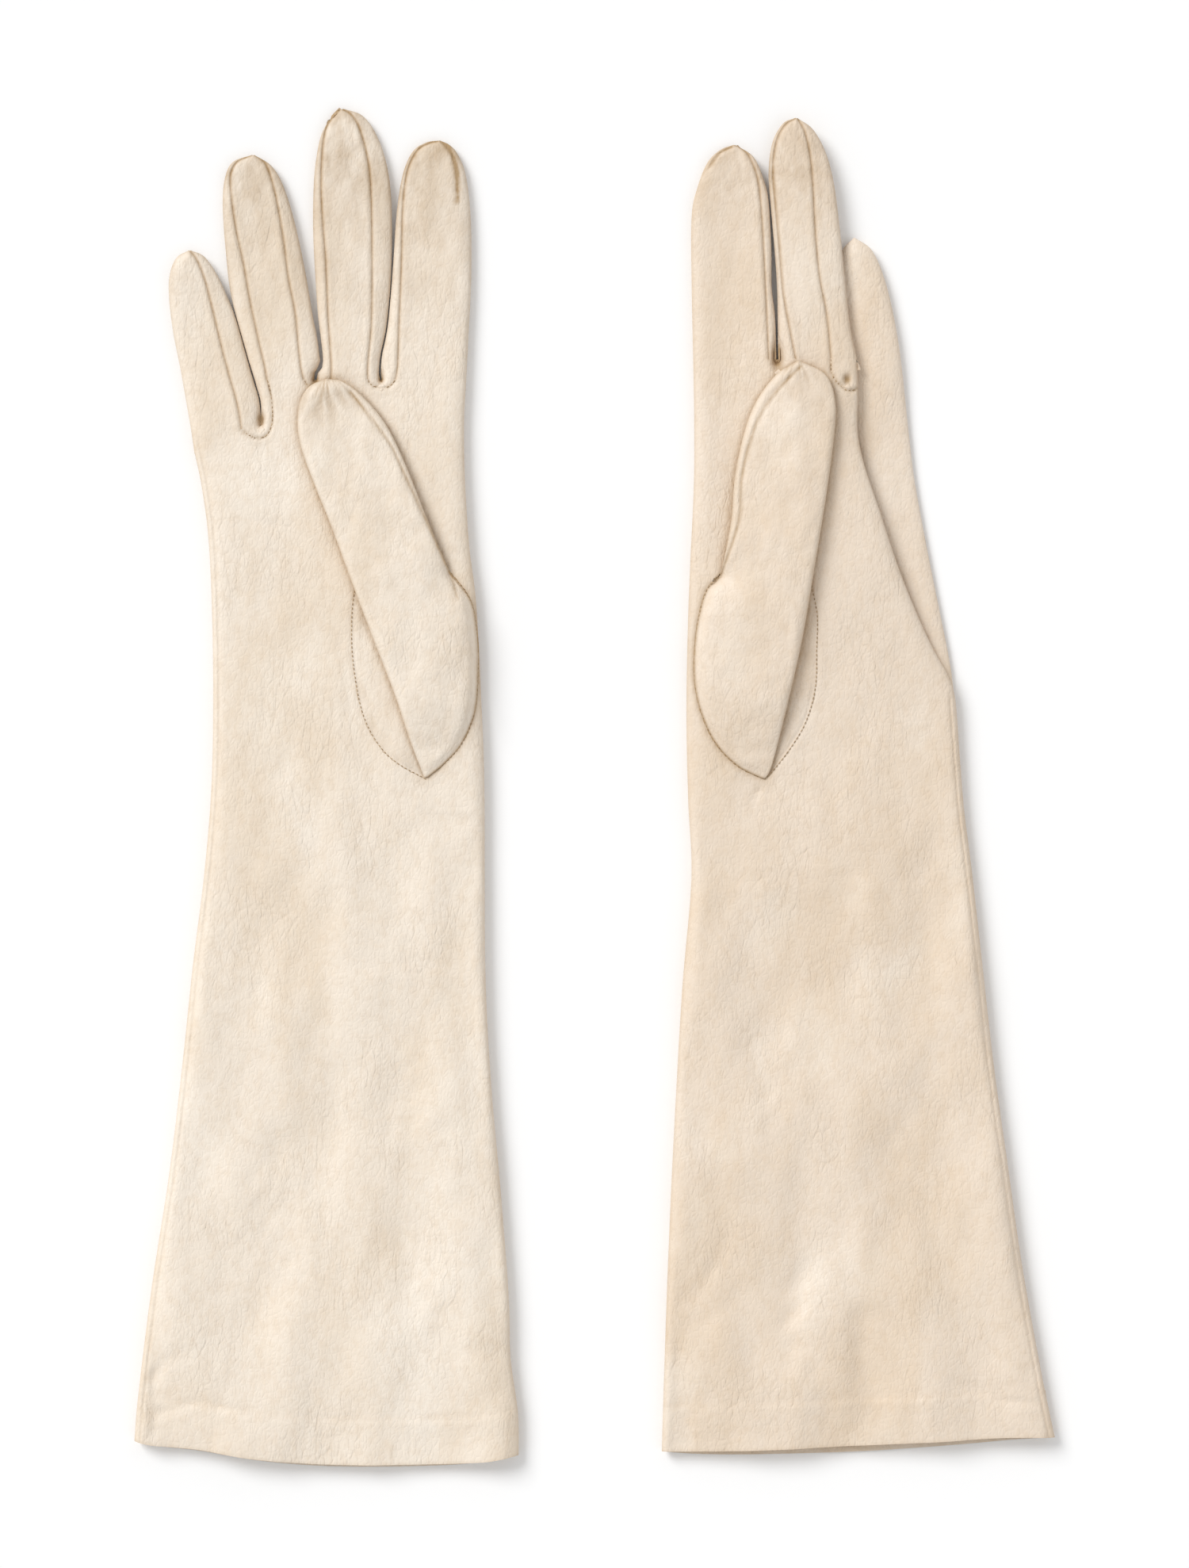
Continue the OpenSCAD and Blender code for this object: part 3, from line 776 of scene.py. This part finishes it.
def makeThumb(glove):
    hand = glove["hand"]
    thumb = thumbs[hand]
    seed = glove["seeds"]["thumb"]
    rows = np.linspace(0.004, 1, 110)
    plan = sheetPlan(thumb["left"], thumb["right"], rows, columnShares(30))
    x, y = plan[..., 0], plan[..., 1]
    d, sewn, half, base = thumbHeights(glove, thumb, x, y)
    bulge = half * rounded(d, thumbShape["turn"])
    lean = 32 if hand == "r" else -32
    fine = 0.5 * noise(x / 10, y / 17, seed) + 0.22 * noise(x / 4, y / 7, seed + 1)
    fine = fine + 0.24 * folds(x, y, 3, 9, lean, seed + 2) + 0.2 * folds(x, y, 2.6, 7, lean + 60, seed + 3)
    tipX, tipY = thumb["left"][-1]
    turn, far = np.arctan2(y - tipY - 3, x - tipX), np.hypot(x - tipX, y - tipY)
    gather = thumbShape["gather"][hand] * bell(far, thumbShape["gatherReach"][hand])
    ridge = 0.5 - np.abs(noise(turn * 4.6, far / 14, seed + 4))
    top = base + half + bulge + (fine + gather * ridge) * ramp(d / 3) * ramp(half / 1.2)
    seam = distance(x, y, [smooth(thumb["seam"])])
    pucker = 0.12 * noise((x + y) / 1.8, (x - y) / 2.3, seed + 5)
    top = top - 0.5 * bell(seam, 0.7) * ramp(d / 0.7) + pucker * bell(seam, 2.4) * ramp(d / 1.2)
    # Darker along the seams, with painted shade along the thumb's edges
    dark = 0.6 * bell(seam, 0.5) + 0.45 * bell(sewn, 0.55) + 0.3 * bell(d, 0.5)
    # Painted shade in the hollows between the gathers at the tip, over an even tan tinge there
    dark = dark + gather / 0.9 * (0.6 * ramp(0.75 - 1.6 * ridge) + 0.14)
    patch = ramp(0.3 + 1.2 * noise(x / 9, y / 14, seed + 6))
    dark = dark + 0.1 * patch * ramp((y - 70) / 30)
    grids = [faced(1, np.dstack([x, y, top]), dark), faced(-1, np.dstack([x, y, base + half - bulge]), dark)]
    return makeLeather("thumb_" + hand, grids, leather["thumbThickness"])


def makeThumbBall(glove):
    # The ball of the thumb, sewn over the oval hole in the palm
    thumb = thumbs[glove["hand"]]
    seed = glove["seeds"]["ball"]
    rows = 0.5 - 0.5 * np.cos(math.pi * np.linspace(0, 1, 90))
    low, high = thumb["hole"][::-1], thumb["sewn"]
    if glove["hand"] == "l":
        low, high = high, low
    plan = sheetPlan(low, high, rows, closeIn(50))
    x, y = plan[..., 0], plan[..., 1]
    d = distance(x, y, glove["hole"])
    rim = distance(x, y, glove["thumbEdge"])
    x = x.mean() + (x - x.mean()) * 1.022          # laps over the edge of the hole
    y = y.mean() + (y - y.mean()) * 1.012
    z = palmZ(glove, x, y, hollow=False) - 0.2 * (1 - ramp(d / 0.6)) + 0.16
    crumple = 0.22 * noise(x / 5, y / 9, seed) + 0.2 * folds(x, y, 3.2, 9, 15, seed + 1)
    z = z + ramp(d / 2.5) * crumple * 0.7 - 0.22 * bell(d - 1.1, 0.5)
    # Darker along the seam round the hole, and painted shadow where the thumb lies over the ball; faint
    # mottling near the seam
    dark = 0.5 * bell(d, 0.4) + 0.45 * bell(rim, 0.8) + 0.14 * bell(rim, 3)
    dark = dark + 0.16 * ramp(0.4 + noise(x / 4, y / 8, seed + 2)) * bell(d, 6)
    grids = [(np.dstack([x, y, z]), dark)]
    return makeLeather("thumb_ball_" + glove["hand"], grids, leather["turnedThickness"])


def makeQuirks(glove):
    # Small diamonds in the forks, just below each hole
    grids = []
    for fx, fy, wide, tall, _ in glove["forkEnds"]:
        u, v = np.meshgrid(np.linspace(-1, 1, 11), np.linspace(-1, 1, 11))
        x, y = fx + 0.3 + (u - v) * 0.75, fy - tall - 1.1 + (u + v) * 0.85
        edge = 1 - np.maximum(np.abs(u), np.abs(v))
        z = palmZ(glove, x, y) - 0.12 + 0.34 * ramp(edge / 0.4)
        grids.append((np.dstack([x, y, z]), 0.12 + 0.25 * (1 - ramp(edge / 0.3))))
    return makeLeather("quirks_" + glove["hand"], grids, leather["quirkThickness"])


stitch = {"length": 0.95, "radius": 0.15, "pitch": 1.4, "forkSize": 1.25}


def makeStitches(name, lines, heightAt, size=1.0):
    # Short threads in a row along each line, every one a copy of the first
    bpy.ops.object.select_all(action="DESELECT")
    bpy.ops.mesh.primitive_uv_sphere_add(segments=6, ring_count=4, radius=1)
    first = bpy.context.object
    shape = np.array([v.co for v in first.data.vertices]) * size
    shape = shape * [stitch["length"] / 2, stitch["radius"], stitch["radius"]]
    faces = [tuple(p.vertices) for p in first.data.polygons]
    bpy.data.objects.remove(first)
    points, polygons = [], []
    for line in lines:
        step = np.r_[0, np.cumsum(np.linalg.norm(np.diff(line, axis=0), axis=1))]
        where = np.arange(stitch["pitch"] / 2, step[-1], stitch["pitch"])
        x, y = np.interp(where, step, line[:, 0]), np.interp(where, step, line[:, 1])
        ax, ay = np.interp(where + 0.3, step, line[:, 0]), np.interp(where + 0.3, step, line[:, 1])
        bx, by = np.interp(where - 0.3, step, line[:, 0]), np.interp(where - 0.3, step, line[:, 1])
        z, az, bz = heightAt(x, y), heightAt(ax, ay), heightAt(bx, by)
        for k in range(len(x)):
            ahead = Vector((ax[k] - bx[k], ay[k] - by[k], az[k] - bz[k])).normalized()
            turn = np.array(ahead.to_track_quat("X", "Z").to_matrix())
            start = sum(len(p) for p in points)
            points.append(shape @ turn.T + [x[k], y[k], z[k] + 0.05])
            polygons += [tuple(i + start for i in f) for f in faces]
    mesh = bpy.data.meshes.new(name)
    mesh.from_pydata((np.vstack(points) * mm).tolist(), [], polygons)
    thread = bpy.data.objects.new(name, mesh)
    bpy.context.collection.objects.link(thread)
    thread.select_set(True)
    bpy.context.view_layer.objects.active = thread
    bpy.ops.object.shade_smooth()
    return thread


class Value:
    # A number or colour inside a material; arithmetic on it adds the matching maths nodes
    def __init__(self, tree, socket):
        self.tree, self.socket = tree, socket

    def node(self, kind, inputs=None, settings=None, output=0):
        # Any other node, with its settings made first and then its sockets
        made = self.tree.nodes.new(kind)
        for key, setting in (settings or {}).items():
            setattr(made, key, setting)
        for key, value in (inputs or {}).items():
            if isinstance(value, Value):
                self.tree.links.new(value.socket, made.inputs[key])
            else:
                made.inputs[key].default_value = value
        return Value(self.tree, made.outputs[output])

    def maths(self, operation, a, b=0.0):
        return self.node("ShaderNodeMath", {0: a, 1: b}, {"operation": operation})

    def __add__(self, other):
        return self.maths("ADD", self, other)

    def __radd__(self, other):
        return self.maths("ADD", other, self)

    def __sub__(self, other):
        return self.maths("SUBTRACT", self, other)

    def __rsub__(self, other):
        return self.maths("SUBTRACT", other, self)

    def __mul__(self, other):
        return self.maths("MULTIPLY", self, other)

    def __rmul__(self, other):
        return self.maths("MULTIPLY", other, self)

    def clamp(self):
        return self.node("ShaderNodeClamp", {"Value": self})

    def band(self, low, high):
        # 0 at low and 1 at high, smoothly
        return self.node("ShaderNodeMapRange", {"Value": self, "From Min": low, "From Max": high},
                         {"interpolation_type": "SMOOTHSTEP"})

    def mix(self, a, b):
        # Colour a where this is 0 and colour b where it is 1
        return self.node("ShaderNodeMix", {0: self, 6: a, 7: b}, {"data_type": "RGBA"}, 2)


def linear(red, green, blue):
    # A colour as a screen shows it, 0 to 255, turned into the renderer's numbers
    return [((c / 255 + 0.055) / 1.055) ** 2.4 for c in (red, green, blue)] + [1]


def newMaterial(name):
    material = bpy.data.materials.new(name)
    material.use_nodes = True
    tree = material.node_tree
    shader = tree.nodes["Principled BSDF"]
    return material, tree, shader


kid = {
    "right": (240.5, 228, 212),
    "left": (233.5, 217.5, 199),
    "stain": (209, 179, 141),
    # The seam colour also serves for painted shade at edges, forks, round the thumb and in creases
    "seam": (176, 148, 112),
    "pale": (250, 242, 230),
    "inside": (236, 222, 200),
    "tan": 0.18,            # how much of the stain is in the tan clouds
    "insideGrain": 0.7,
}


def kidLeather(name, colour, seed, grain=1.0):
    # Smooth satin kid: nets of fine creases darkened with painted shade, lines pulled along the arm, faint
    # tan clouds, and soiled seams with painted shade at edges, forks and round the thumb
    material, tree, shader = newMaterial(name)
    start = Value(tree, None)
    spot = start.node("ShaderNodeTexCoord", output=3)
    spot = spot.node("ShaderNodeVectorMath", {0: spot, 3: 1 / mm}, {"operation": "SCALE"})
    shift = spot.node("ShaderNodeVectorMath", {0: spot, 1: (seed * 31.0, seed * 17.0, seed * 5.0)})

    def cloud(x, y, detail=2.0, rough=0.5, turn=0.0, warp=0.0):
        place = shift.node("ShaderNodeMapping", {"Vector": shift, "Rotation": (0, 0, math.radians(turn)),
                                                 "Scale": (1 / x, 1 / y, 1 / x)})
        return place.node("ShaderNodeTexNoise", {"Vector": place, "Scale": 1.0, "Detail": detail,
                                                 "Roughness": rough, "Distortion": warp})

    def edgesOf(size, stretch, turn):
        # Distance to the nearest of a net of bent creases
        bend = cloud(3, 4, 2)
        place = shift.node("ShaderNodeVectorMath", {0: shift, 1: bend}, {"operation": "ADD"})
        place = place.node("ShaderNodeMapping", {"Vector": place, "Rotation": (0, 0, math.radians(turn)),
                                                 "Scale": (1 / size, 1 / (size * stretch), 1 / size)})
        return place.node("ShaderNodeTexVoronoi", {"Vector": place, "Scale": 1.0, "Randomness": 1.0},
                          {"feature": "DISTANCE_TO_EDGE"})

    broad = cloud(30, 95, 3, 0.5, 6)
    middling = cloud(13, 22, 4, 0.6)
    fine = cloud(1.6, 2.1, 3, 0.6)
    pulled = cloud(0.9, 7, 3, 0.65, 4)
    crossing = cloud(6, 0.9, 3, 0.6, -3)
    crack = edgesOf(4.2 * grain, 2.6, -24)
    hair = edgesOf(2.3 * grain, 3.4, 20)
    net = edgesOf(1.5 * grain, 1.6, 12)
    where = cloud(17, 24, 3).band(0.42, 0.62)
    mottle = cloud(2.6, 4.2, 3, 0.6)
    # Soil and painted shade that the pieces carry
    mark = start.node("ShaderNodeAttribute", None, {"attribute_name": "soilAndShadeMark"}, 2)
    lines = (crack.band(0.0, 0.09) * 0.5 + hair.band(0.0, 0.12) * 0.5 - 1.0) * where
    tan = (broad * 0.7 + middling * 0.3).band(0.42, 0.62)
    pale = cloud(30, 50, 2, 0.5, 20).band(0.5, 0.75)
    clouded = [a + kid["tan"] * (b - a) for a, b in zip(colour, kid["stain"])]
    base = tan.mix(linear(*colour), linear(*clouded))
    base = (pale * 0.35).mix(base, linear(*kid["pale"]))
    speck = (pulled * 0.5 + fine * 0.5).band(0.5, 0.8)
    base = (speck * 0.12 + mottle.band(0.42, 0.68) * 0.14).mix(base, linear(*kid["stain"]))
    # Painted shade in the fine crease dents that the bump also sinks
    base = (lines * -0.09).mix(base, linear(*kid["seam"]))
    # The seam colour where the mark asks for it: soil at seams and painted shade at edges, forks, round the
    # thumb and in wrinkle lines
    soilAndShade = (mark * (0.55 + 0.9 * fine)).clamp()
    base = soilAndShade.mix(base, linear(*kid["seam"]))
    tree.links.new(base.socket, shader.inputs["Base Color"])
    rough = 0.44 + 0.16 * tan + 0.12 * fine + 0.2 * mark
    tree.links.new(rough.clamp().socket, shader.inputs["Roughness"])
    height = net.band(0.0, 0.25) * 0.06 + lines * 0.12 + pulled * 0.06
    height = height + fine * 0.025 + crossing * 0.03 + middling * 0.5
    bump = start.node("ShaderNodeBump", {"Strength": 0.9, "Distance": 0.001, "Height": height})
    tree.links.new(bump.socket, shader.inputs["Normal"])
    shader.inputs["Specular IOR Level"].default_value = 0.38
    shader.inputs["Sheen Weight"].default_value = 0.08
    shader.inputs["Sheen Roughness"].default_value = 0.4
    return material


thread = {"dark": (150, 122, 88), "light": (196, 170, 134)}


def threadFinish():
    material, tree, shader = newMaterial("silkThread")
    start = Value(tree, None)
    spot = start.node("ShaderNodeTexCoord", output=3)
    twist = spot.node("ShaderNodeTexNoise", {"Vector": spot, "Scale": 900.0, "Detail": 2.0})
    base = twist.band(0.35, 0.7).mix(linear(*thread["dark"]), linear(*thread["light"]))
    tree.links.new(base.socket, shader.inputs["Base Color"])
    shader.inputs["Roughness"].default_value = 0.6
    return material


def dress(piece, material):
    piece.data.materials.clear()
    piece.data.materials.append(material)
    return piece


kidRight = kidLeather("kidLeatherRight", kid["right"], 1)
kidLeft = kidLeather("kidLeatherLeft", kid["left"], 5)
kidInside = kidLeather("kidInside", kid["inside"], 9, kid["insideGrain"])
silk = threadFinish()
print("materials ready")

pair = ((rightGlove, fingersR), (leftGlove, fingersL))
for glove, fingers in pair:
    setUp(glove, fingers)
print("outlines ready")

# Where each fold lies, which way the leather beyond it runs, and how far on it starts: x, y, degrees, mm
foldLines = {
    "index_r": (-55.2, 132, 0, 0), "middle_r": (-79, 132, 0, 0), "ring_r": (-100.4, 132, 0, 0),
    "little_r": (-119.4, 112, 11, 3.5), "index_l": (44, 138.5, -0.7, 0), "middle_l": (70.2, 138.5, 3.4, 0),
    "ring_l": (70.2, 138.5, 3.4, 0), "little_l": (95.7, 113, 8.7, 0),
}
folding = {                 # mm
    "fingerReach": 12,      # given for each bend, though no bend is made with it
    "thumbReach": 22,
    "thumbHeight": 10,
    "wrist": {"r": (-82.8, -57.5), "l": (76.7, -27.5)},
    "wristReach": 9,        # to either side
    "wristHeight": 3.5,
}


def bendAlong(piece, line, reach):
    x, y, lean, wait = line
    s, c = math.sin(math.radians(lean)), math.cos(math.radians(lean))
    (x - s * wait) * mm
    (y + c * wait) * mm
    (x - s * (wait + reach)) * mm
    (y + c * (wait + reach)) * mm
    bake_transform(piece)


def bendFinger(piece, name, hand):
    line = foldLines[f"{name}_{hand}"]
    bendAlong(piece, line, folding["fingerReach"])


def bendWrist(piece):
    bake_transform(piece)


for glove, fingers in pair:
    hand = glove["hand"]
    skin = kidRight if hand == "r" else kidLeft
    slot = "kid_leather_right" if hand == "r" else "kid_leather_left"
    body = dress(makeTrank(glove), skin)
    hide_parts(f"hand_{hand}", f"sleeve_{hand}", f"hand_seam_{hand}", f"sleeve_seam_{hand}")
    bendWrist(body)
    hem = dress(makeHem(glove), kidInside)
    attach(hem, f"forearm_{hand}")
    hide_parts(f"hem_{hand}")
    for name, finger in openFingers(glove, fingers).items():
        parts = makeFinger(glove, name, finger)
        for piece in parts.values():
            dress(piece, skin)
            bendFinger(piece, name, hand)
        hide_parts(f"{name}_palm_{hand}", f"{name}_back_{hand}")
    thumb = dress(makeThumb(glove), skin)
    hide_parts(f"thumb_tube_{hand}", f"thumb_base_{hand}")
    bendAlong(thumb, thumbs[hand]["spine"], folding["thumbReach"])
    ball = dress(makeThumbBall(glove), skin)
    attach(ball, f"palm_{hand}")
    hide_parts(f"thumb_hole_{hand}")
    quirks = dress(makeQuirks(glove), skin)
    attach(quirks, f"palm_{hand}")
    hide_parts(f"quirks_{hand}")
    threads = makeStitches(f"thumb_stitches_{hand}", glove["hole"],
                           lambda x, y: palmZ(glove, x, y, hollow=False) + 0.12)
    forks = makeStitches(f"fork_stitches_{hand}", [smooth(line, 6) for line in forkSeams[hand]],
                         lambda x, y: palmZ(glove, x, y) + 0.08, stitch["forkSize"])
    for piece in (threads, forks):
        dress(piece, silk)
        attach(piece, f"palm_{hand}")
    print("glove", hand, "made")

fourchettes = {
    "index_fourchetteA_r": "index_fourchette_r", "little_fourchetteB_r": "little_fourchette_r",
    "ring_fourchetteA_r": "ring_fourchette_b_r", "ring_fourchetteB_r": "ring_fourchette_a_r",
    "middle_fourchetteA_r": "middle_fourchette_b_r", "middle_fourchetteB_r": "middle_fourchette_a_r",
    "index_fourchetteB_l": "index_fourchette_l",
    "middle_fourchetteA_l": "middle_fourchette_a_l", "middle_fourchetteB_l": "middle_fourchette_b_l",
}
for name, node in fourchettes.items():
    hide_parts(node)

under = {"width": 18, "stripRows": 60}      # the strip and the two fingers that are folded under, left
shares = columnShares(under["width"])
ring = makeUnder("ring_under_l", stripPlan(fingersL["ring"], "left", "right", shares), ringZ)
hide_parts("ring_palm_l", "ring_back_l", "ring_fourchette_a_l", "ring_fourchette_b_l")
little = makeUnder("little_under_l", stripPlan(fingersL["little"], "left", "right", shares), stripZ, True)
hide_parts("little_palm_l", "little_back_l", "little_fourchette_l")
rows = np.linspace(0, 1, under["stripRows"])
flap = makeUnder("folded_strip_l", sheetPlan(pleat["left"], pleat["right"], rows, shares), stripZ)
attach(flap, "palm_l")
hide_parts("pleat_under_l")
for piece, name in ((ring, "ring"), (little, "little")):
    bendFinger(piece, name, "l")
for piece in (ring, little, flap):
    dress(piece, kidLeft)
print("folded strip ready")

# Every leather piece was cut flat and then sewn into a tube or turned over: width and length in mm
cutSizes = {
    "trank_r": (254, 352), "trank_l": (268, 352), "hem_r": (252, 16), "hem_l": (258, 16),
    "index_leather_r": (52, 80), "middle_leather_r": (34, 90), "ring_leather_r": (34, 76),
    "little_leather_r": (46, 66), "index_leather_l": (54, 74), "middle_leather_l": (36, 82),
    "ring_under_l": (44, 68), "little_under_l": (44, 70), "folded_strip_l": (40, 84),
    "thumb_r": (60, 136), "thumb_l": (62, 138), "thumb_ball_r": (44, 76), "thumb_ball_l": (44, 76),
}


for name, (wide, long) in cutSizes.items():
    folded = name in ("ring_under_l", "little_under_l", "folded_strip_l")

light = {
    "world": 0.59, "floor": 0.98,
    "key": 2.0, "keyPlace": (-0.8, 0.72, 0.85), "keySoftness": 30,
    "fill": 0.2, "fillPlace": (0.9, -0.6, 1.2), "fillSoftness": 50,
}

bpy.ops.object.select_all(action="DESELECT")
bpy.ops.mesh.primitive_plane_add(size=3, location=(0, 0, 0))
floor = bpy.context.object
floor.name = "floor"
for vertex in floor.data.vertices:
    vertex.co.z = -0.4 * mm
floorLook, floorTree, floorShader = newMaterial("paleFloor")
floorShader.inputs["Base Color"].default_value = (light["floor"],) * 3 + (1,)
floorShader.inputs["Roughness"].default_value = 1.0
floorShader.inputs["Specular IOR Level"].default_value = 0.0
floor.data.materials.append(floorLook)

world = bpy.data.worlds.new("studio")
world.use_nodes = True
world.node_tree.nodes["Background"].inputs["Color"].default_value = (1, 1, 1, 1)
world.node_tree.nodes["Background"].inputs["Strength"].default_value = light["world"]
bpy.context.scene.world = world


def studioLight(name, place, strength, softness):
    bpy.ops.object.light_add(type="SUN", location=place)
    lamp = bpy.context.object
    lamp.name = name
    lamp.data.energy = strength
    lamp.data.angle = math.radians(softness)
    lamp.rotation_euler = (-Vector(place)).to_track_quat("-Z", "Y").to_euler()


studioLight("keyLight", light["keyPlace"], light["key"], light["keySoftness"])
studioLight("fillLight", light["fillPlace"], light["fill"], light["fillSoftness"])
bpy.context.scene.view_settings.view_transform = "Standard"

overhead = {                # metres, and the film in mm
    "height": 1.5,
    "aimY": 0.0009,
    "toLeather": 1.495,
    "seenHeight": 0.5076,
    "film": 36,
}
bpy.ops.object.camera_add(location=(0, overhead["aimY"], overhead["height"]), rotation=(0, 0, 0))
camera = bpy.context.object
camera.data.sensor_fit = "VERTICAL"
camera.data.sensor_height = overhead["film"]
camera.data.lens = overhead["film"] * overhead["toLeather"] / overhead["seenHeight"]
camera.data.clip_start = 0.05
bpy.context.scene.camera = camera
print("studio ready")
